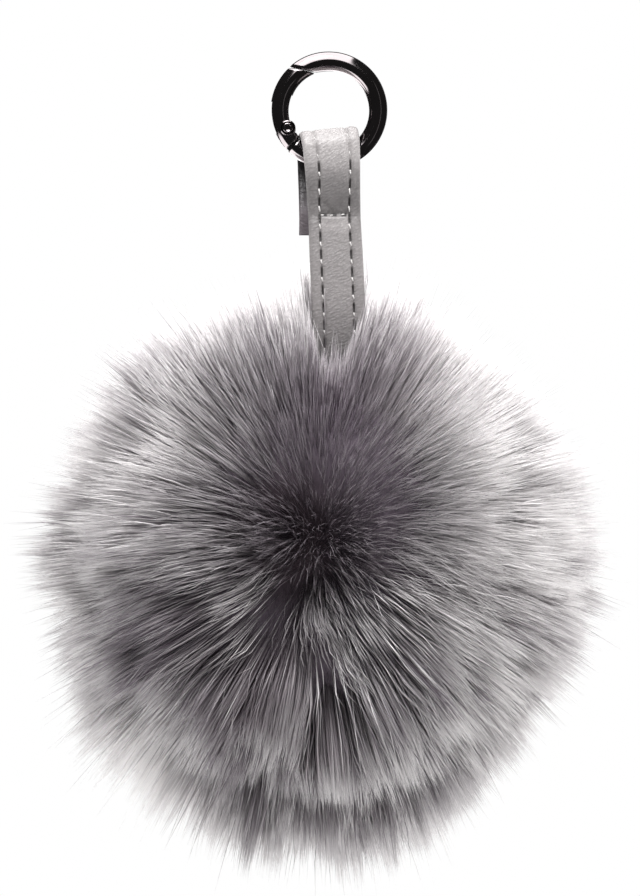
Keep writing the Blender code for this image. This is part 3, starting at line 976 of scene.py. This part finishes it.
def make_strap(path):
    """Strap: a section of two faces and two round edges, carried along the path."""
    middle, out = strap_frame(path)
    length = np.arange(len(path)) * STEP
    half = STRAP_WIDTH / 2
    edge = STRAP_THICK / 2
    flat = np.linspace(-(half - edge), half - edge, 57)
    turn = np.linspace(-math.pi / 2, math.pi / 2, 9)[1:-1]
    right = half - edge + edge * np.cos(turn)
    across = np.concatenate([flat, right, flat[::-1], -right])
    lift = np.concatenate([0 * flat + edge, -edge * np.sin(turn), 0 * flat - edge, edge * np.sin(turn)])
    outer = np.concatenate([0 * flat + 1, 0.5 - 0.5 * np.sin(turn), 0 * flat, 0.5 + 0.5 * np.sin(turn)])
    z, y = path[:, 0, None], path[:, 1, None]
    relief = outer * strap_relief(across[None], z, y, length[:, None]) + (1 - outer) * crown_at(across)
    height = lift[None] + relief
    wide = sideways(across[None], z)
    grid = middle[:, None] + wide[..., None] * [1, 0, 0] + height[..., None] * out[:, None]
    grid[..., 2] += fold_tilt(z) * wide
    strap = closed_tube("stitched_strap", grid, leatherette)
    around = len(across)
    corner = np.empty(len(strap.data.loops), np.int32)
    strap.data.loops.foreach_get("vertex_index", corner)
    row, column = np.divmod(corner, around)
    row = np.minimum(row, len(path) - 1)
    place = across + np.where(outer < 0.5, BACK_OF_MAP, 0)
    add_map(strap, "Strip", np.stack([place[column], length[row]], 1))
    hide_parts("strap")
    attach(strap, "root")
    return strap


def stitch_grid(start, end, out, radius, sink, around=7, rows=9):
    """Threads from start to end points, that arch over the face and dive into the holes at both ends.

    The radius is one number, or an array that broadcasts over the threads' rows of points.
    """
    share = np.linspace(0, 1, rows)[None, :, None]
    arch = 1 - (2 * share - 1) ** 4
    spine = start[:, None] * (1 - share) + end[:, None] * share
    spine = spine + out[:, None] * (radius * 0.9 * arch - sink * (1 - arch))
    tangent = unit(np.gradient(spine, axis=1))
    side = unit(np.cross(tangent, out[:, None]))
    rise = np.cross(side, tangent)
    turn = np.linspace(0, 2 * math.pi, around, endpoint=False)[None, None, :, None]
    round_ = np.cos(turn) * side[:, :, None] + np.sin(turn) * rise[:, :, None]
    return spine[:, :, None] + np.asarray(radius)[..., None] * round_


def threads(name, grids):
    """Many short closed tubes as one piece, with a map that runs round and along each."""
    points, quads, ends, places = [], [], [], []
    count = 0
    for grid in [one for group in grids for one in group]:
        rows, around = grid.shape[:2]
        spots, sides, caps = tube_mesh(grid)
        points.append(spots)
        quads.append(sides + count)
        ends.append(caps + count)
        v = np.concatenate([np.repeat(np.arange(rows), around), [0, rows - 1]]) / 3
        u = np.concatenate([np.tile(np.arange(around), rows), [0, 0]]) / around
        places.append(np.stack([u, v], 1))
        count += len(spots)
    piece = new_piece(name, np.concatenate(points), [np.concatenate(quads), np.concatenate(ends)], thread)
    corner = np.empty(len(piece.data.loops), np.int32)
    piece.data.loops.foreach_get("vertex_index", corner)
    add_map(piece, "Twist", np.concatenate(places)[corner])
    return piece


def on_face(path, across, at):
    """Points on the strap's outer face at given places across and along it, and the directions out of it."""
    middle, out = strap_frame(path)
    length = np.arange(len(path)) * STEP
    index = np.interp(at, length, np.arange(len(path))).round().astype(int)
    z, y = path[index].T
    raised = STRAP_THICK / 2 + strap_relief(across, z, y, at)
    wide = sideways(across, z)
    spot = middle[index] + wide[:, None] * [1, 0, 0] + raised[:, None] * out[index]
    spot[:, 2] += fold_tilt(z) * wide
    return spot, out[index]


def make_stitches(path, cross_at):
    """Slanting stitches of the side seams, and the three of the cross stitch that closes the loop."""
    last = (len(path) - 1) * STEP
    starts = np.arange(STITCH_PITCH, last - STITCH_PITCH, STITCH_PITCH)
    worn = np.interp(starts, np.arange(len(path)) * STEP, path[:, 0]) > WORN_ABOVE_Z
    radius = np.where(worn, WORN_STITCH_R, STITCH_R)[:, None, None]
    grids = []
    for side in (-1, 1):
        seam = np.full(len(starts), side * SEAM_FROM_MIDDLE)
        start, face = on_face(path, seam + STITCH_SLANT, starts + 0.05 * MM)
        end, _ = on_face(path, seam - STITCH_SLANT, starts + STITCH_LENGTH)
        grids.append(stitch_grid(start, end, face, radius, STITCH_SINK))
    from_x, to_x, start_rise, end_rise = np.array(CROSS_STITCHES).T * MM
    start, face = on_face(path, from_x, np.full(3, cross_at))
    end, _ = on_face(path, to_x, np.full(3, cross_at))
    start[:, 2] += start_rise
    end[:, 2] += end_rise
    grids.append(stitch_grid(start, end, face, CROSS_STITCH_R, STITCH_SINK))
    stitches = threads("strap_stitches", grids)
    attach(stitches, "root")
    return stitches


# ---------------------------------------------------------------- the fur


def turned_away(directions, pole, angle):
    """Directions turned further from the pole, each round the axis at right angles to it and the pole."""
    axis = unit(np.cross(pole, directions))
    angle = np.asarray(angle)[..., None]
    return directions * np.cos(angle) + np.cross(axis, directions) * np.sin(angle)


def angle_from(pole, directions):
    return np.arccos(np.clip((directions * pole).sum(-1), -1, 1))


def parting_near(roots):
    """The point of the parting that is level with each root, or else its nearer end."""
    low, high = np.array(PARTING[1]), np.array(PARTING[0])
    share = np.clip((roots[..., 2] - low[2]) / (high[2] - low[2]), 0, 1)[..., None]
    return unit(low + (high - low) * share)


def comb_angle(roots, parting):
    """How far hair leans from upright, away from the parting: soon a lot, most below it, and none behind."""
    theta = angle_from(parting, roots)
    away = unit(roots - (roots * parting).sum(-1, keepdims=True) * parting)
    below = (1 - away[..., 2]) / 2
    most = COMB_ABOVE + (COMB_BELOW - COMB_ABOVE) * below
    rise = 1 - np.exp(-theta / (COMB_RISE[1] + (COMB_RISE[0] - COMB_RISE[1]) * below))
    fade = (1 + np.cos(math.pi * np.minimum(theta / COMB_REACH, 1) ** 1.4)) / 2
    return most * rise * fade


def fur_reach(directions):
    """Distance of upright fur's tips from the ball's centre, longer at the bottom and on the left."""
    x, z = directions[..., 0], directions[..., 2]
    vertical = np.where(z > 0, REACH_TOP, REACH_BOTTOM)
    return REACH_SIDE + (vertical - REACH_SIDE) * z**2 + REACH_LEFT_MORE * np.maximum(-x, 0)


def fur_paths(roots, shares, strays, lengths):
    """Hairs as rows of points: each leans by the comb, is nearly straight, and sinks towards its tip.

    Hair at the parting is a fifth shorter.
    """
    parting = parting_near(roots)
    heading = unit(turned_away(roots, parting, comb_angle(roots, parting)) + strays)
    pile = (fur_reach(heading) - SKIN_R) * lengths
    pile = pile * (1 - 0.2 * bell(angle_from(parting, roots), math.radians(13)))
    share = shares[None, :]
    sink = DROOP * np.sin(angle_from(UP, heading))[:, None] * (0.35 + 0.65 * share)
    led = turned_away(heading[:, None], UP, sink)
    return SKIN_R * roots[:, None] + led * (pile[:, None] * share)[..., None]


def scattered(count, chance, jitter):
    """Directions spread evenly over a ball, on a spiral of golden-angle steps, each moved a little."""
    step = np.arange(count) + 0.5
    z = 1 - 2 * step / count
    angle = step * math.pi * (3 - math.sqrt(5))
    flat = np.sqrt(1 - z**2)
    even = np.stack([flat * np.cos(angle), flat * np.sin(angle), z], 1)
    return unit(even + chance.normal(0, jitter * math.sqrt(4 * math.pi / count) / 2, even.shape))


def nearest(directions, guides, rows=3000):
    """For each direction, the number of the guide that makes the smallest angle with it."""
    starts = range(0, len(directions), rows)
    return np.concatenate([np.argmax(directions[i : i + rows] @ guides.T, axis=1) for i in starts])


def front_spot(x, z):
    """Direction of a spot on the front of the ball, from its millimetres beside and above the centre."""
    side = np.array([x, z]) / SPOTS_LIE_AT
    return np.array([side[0], -math.sqrt(max(0, 1 - side @ side)), side[1]])


def patches(directions, table):
    """A sum of soft round patches on the front of the ball, from rows of x, z, spread and amount."""
    total = np.zeros(len(directions))
    for x, z, spread, amount in table:
        total += amount * bell(angle_from(front_spot(x, z), directions), spread)
    return total


def clear_of_strap(paths):
    """Moves points of hairs out of the strap's way, to its front or back."""
    x, y, z = (paths[..., i] for i in range(3))
    beside = np.abs(x - strap_shape(z)[0]) < CLEAR_BESIDE
    near = beside & (z > CLEAR_ABOVE_Z) & (np.abs(y - STRAP_Y) < CLEAR_DEPTH)
    moved = np.where(near, STRAP_Y + np.where(y < STRAP_Y, -1, 1) * CLEAR_DEPTH, y)
    return np.stack([x, moved, z], -1)


def kept_at_strap(paths, chance):
    """Share of its length that each hair keeps, so that the strap shows down to where it goes in."""
    start, tip = paths[:, 0], paths[:, -1]
    middle = strap_shape(tip[:, 2])[0]
    limit = STRAP_SHOWS_TO + chance.normal(0, 4 * MM, len(paths))
    beside = np.abs(tip[:, 0] - middle) / (7.0 * MM)
    limit = limit + np.maximum(beside - 0.7, 0) * 28 * MM
    over = (beside < 1.4) & (tip[:, 1] < 2 * MM) & (tip[:, 2] > limit)
    keep = (limit - start[:, 2]) / np.maximum(tip[:, 2] - start[:, 2], 1 * MM)
    return np.where(over, np.clip(keep, 0.25, 1), 1)


def lay_guides(chance):
    """Middle hairs of the wisps and of their tufts, which follow lobes of the pile, as a dict of arrays."""
    lobes = scattered(LOBES, chance, 0.9)
    tufts = scattered(TUFTS, chance, 0.9)
    lobe = nearest(tufts, lobes)
    stray = chance.normal(0, 0.12, lobes.shape)[lobe] + chance.normal(0, 0.09, tufts.shape)
    stray = stray * (1 - 0.85 * np.minimum(patches(tufts, FRINGE_SPOTS), 1)[:, None])
    length = 1 + chance.normal(0, 0.025, LOBES)[lobe] + chance.normal(0, 0.05, TUFTS)
    tone = chance.normal(0, 0.06, LOBES)[lobe] + chance.normal(0, 0.08, TUFTS)
    wisps = scattered(WISPS, chance, 0.9)
    tuft = nearest(wisps, tufts)
    patch = 1 + patches(wisps, LENGTH_SPOTS)
    mess = np.minimum(patches(wisps, MESSY_SPOTS), 1)[:, None]
    made = {"roots": wisps, "tuft": tuft}
    made["stray"] = stray[tuft] + chance.normal(0, 1, wisps.shape) * (0.08 + 0.34 * mess)
    made["length"] = length[tuft] * (1 + chance.normal(0, 0.055, WISPS)) * patch
    made["tone"] = tone[tuft] + chance.normal(0, 0.12, WISPS)
    made["tufts"] = (tufts, stray, length * (1 + patches(tufts, LENGTH_SPOTS)))
    return made


def lay_hairs(guides, chance):
    """Hairs, drawn together into wisps and tufts more and more towards their tips, as a dict of arrays."""
    roots = scattered(HAIRS, chance, 1.0)
    shares = np.array([0.02, THICKEST, 1.0])
    wisp = nearest(roots, guides["roots"])
    messy = patches(roots, MESSY_SPOTS)
    calm = patches(roots, CALM_SPOTS)
    fringe = patches(roots, FRINGE_SPOTS)
    loose = chance.uniform(size=HAIRS) < 0.09 + 0.1 * messy
    scatter = np.where(loose, 0.22, chance.uniform(0.02, 0.13, HAIRS)) + 0.14 * messy + 0.10 * calm
    stray = guides["stray"][wisp] + chance.normal(size=roots.shape) * scatter[:, None]
    shorter = (0.50 - 0.34 * fringe) * chance.uniform(size=HAIRS) ** 1.1
    length = guides["length"][wisp] * (1.11 + 0.03 * loose - shorter)
    length = length * (1 - 0.1 * messy)
    own = fur_paths(roots, shares, stray, length)
    tufts, tuft_stray, tuft_length = guides["tufts"]
    lead = fur_paths(guides["roots"], shares, guides["stray"], guides["length"])[wisp]
    head = fur_paths(tufts, shares, tuft_stray, tuft_length)[guides["tuft"][wisp]]
    held = (1 - calm) * (1 - np.minimum(messy, 1))
    draw = (0.28 + 0.20 * fringe) * held
    gather = np.where(loose, 0.1, chance.uniform(0.45, 0.93, HAIRS)) * held
    bend = shares[None, :, None]
    spread = (own - lead) * (1 - gather[:, None, None] * bend**1.3)
    paths = lead + draw[:, None, None] * bend**1.5 * (head - lead) + spread
    keep = kept_at_strap(paths + BALL_CENTRE, chance)
    paths = paths[:, :1] + (paths - paths[:, :1]) * keep[:, None, None]
    seen = unit(paths[:, -1])
    pale = chance.uniform(size=HAIRS) < 0.16
    tone = guides["tone"][wisp] * (1 + 1.3 * fringe) + chance.normal(0, 0.08, HAIRS)
    tone = tone + 0.16 * loose + 0.16 * pale + patches(roots, ROOT_TONE_SPOTS) - 0.22 * messy
    # Painted light round the rim, where hairs are seen edge-on, and painted light and shade in patches over
    # the front, on top of each hair's own tone.
    from_front = angle_from(-unit(np.array([0.1, 1.0, 0.0])), seen)
    rim = PAINTED_RIM_LIGHT * np.clip((from_front - 0.7) / 0.9, 0, 1)
    lightness = 0.48 + tone * (1 - 0.95 * calm) - 0.20 * calm + patches(seen, PAINTED_LIGHT_AND_TONE_SPOTS) + rim
    made = {"roots": roots, "paths": clear_of_strap(paths + BALL_CENTRE)}
    made["light"] = np.clip(lightness, 0.01, 0.99)
    messy = np.minimum(messy, 1)
    # Painted shade in the hollow at the parting, and painted light and shade from the frost patches, move how
    # far the frost comes.
    hollow = np.minimum(patches(roots, HOLLOW_SHADE_SPOTS), 1)
    more = patches(seen, FROST_AND_PAINTED_LIGHT_SPOTS)
    tip = (0.99 - 0.32 * calm - 0.7 * hollow) * keep**1.3
    middle = np.clip(0.76 - 0.14 * calm - 0.55 * hollow + more, 0.12, 0.97)
    low = 0.04 + 0.56 * calm + 0.14 * fringe + 0.6 * np.maximum(more, 0) - 0.04 * hollow
    made["frost"] = np.stack([low, middle * keep**0.7, tip], 1)
    finer = (1 - 0.4 * calm + 0.2 * fringe) * (1 - 0.3 * messy)
    made["thick"] = HAIR_R * chance.uniform(0.75, 1.25, HAIRS) * finer
    return made


def needles(hairs, chosen, chance):
    """Closed needles with three sides and pointed ends: their points, triangles, and map places by point."""
    paths, light = hairs["paths"][chosen], hairs["light"][chosen]
    count = len(paths)
    tangent = unit(paths[:, 2] - paths[:, 0])
    side = unit(np.cross(tangent, unit(chance.normal(size=(count, 3)))))
    rise = np.cross(tangent, side)
    turn = (np.arange(3) * 2 * math.pi / 3)[None, :, None]
    ring = np.cos(turn) * side[:, None] + np.sin(turn) * rise[:, None]
    ring = paths[:, 1:2] + ring * hairs["thick"][chosen, None, None]
    points = np.concatenate([paths[:, :1], ring, paths[:, 2:]], 1)
    sides = [(1 + i, 1 + (i + 1) % 3) for i in range(3)]
    faces = [[0, b, a] for a, b in sides] + [[a, b, 4] for a, b in sides]
    triangles = np.array(faces) + 5 * np.arange(count)[:, None, None]
    along = hairs["frost"][chosen][:, [0, 1, 1, 1, 2]]
    across = light[:, None] + np.array([0, -1, 0, 1, 0]) * MAP_WIDTH
    return points.reshape(-1, 3), triangles.reshape(-1, 3), np.stack([across, along], -1).reshape(-1, 2)


def make_fur():
    """Frosted pile in panels round the ball."""
    chance = np.random.RandomState(SEED)
    hairs = lay_hairs(lay_guides(chance), chance)
    order = np.argsort(np.arctan2(hairs["roots"][:, 0], -hairs["roots"][:, 1]))
    for number, chosen in enumerate(np.array_split(order, PANELS), 1):
        points, triangles, places = needles(hairs, chosen, chance)
        piece = new_piece(f"fur_panel_{number}", points, [triangles], fur)
        for layer in ("Strand", "OFBake"):
            add_map(piece, layer, places[triangles.ravel()])
        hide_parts("pompom")
        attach(piece, "root")


def make_ground():
    """The stuffed ball with the dense foot of its pile, rippled, swollen above, hollowed at the parting."""
    up = np.linspace(-math.pi / 2, math.pi / 2, 66)[1:-1, None]
    around = np.linspace(0, 2 * math.pi, 120, endpoint=False)[None, :]
    grid = np.stack([np.cos(up) * np.cos(around), np.cos(up) * np.sin(around), np.sin(up) + 0 * around], -1)
    ripple = np.sin(9 * around + 4 * up) * np.sin(11 * up) + 0.6 * np.sin(17 * around - 9 * up)
    radius = GROUND_R + 0.5 * MM * ripple * np.cos(up)
    radius = radius + patches(grid.reshape(-1, 3), GROUND_SPOTS).reshape(radius.shape)
    radius = radius - GROUND_FLATTER * bell(angle_from(UP, grid), 0.45)
    ball = closed_tube("stuffed_ball", grid * radius[..., None] + BALL_CENTRE, ground)
    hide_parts("pompom")
    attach(ball, "root")


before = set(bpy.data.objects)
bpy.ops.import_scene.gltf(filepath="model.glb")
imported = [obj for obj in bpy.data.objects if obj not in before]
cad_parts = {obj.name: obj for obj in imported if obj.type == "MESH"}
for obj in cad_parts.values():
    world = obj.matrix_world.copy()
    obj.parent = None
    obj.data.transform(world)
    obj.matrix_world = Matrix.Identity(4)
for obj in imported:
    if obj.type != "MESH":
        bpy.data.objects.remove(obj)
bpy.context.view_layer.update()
make_camera()
make_studio()
fur = fur_finish()
ground = ground_finish()
thread = thread_finish()
metal = metal_finish()
make_ring()
path = strap_path()
cross_at = float(np.argmin(np.abs(path[:, 0] - CROSS_STITCH_Z) + 10 * (path[:, 1] > 0))) * STEP
leatherette = strap_finish(cross_at)
strap = make_strap(path)
stitches = make_stitches(path, cross_at)
make_ground()
make_fur()
bpy.context.scene.view_settings.view_transform = "Standard"
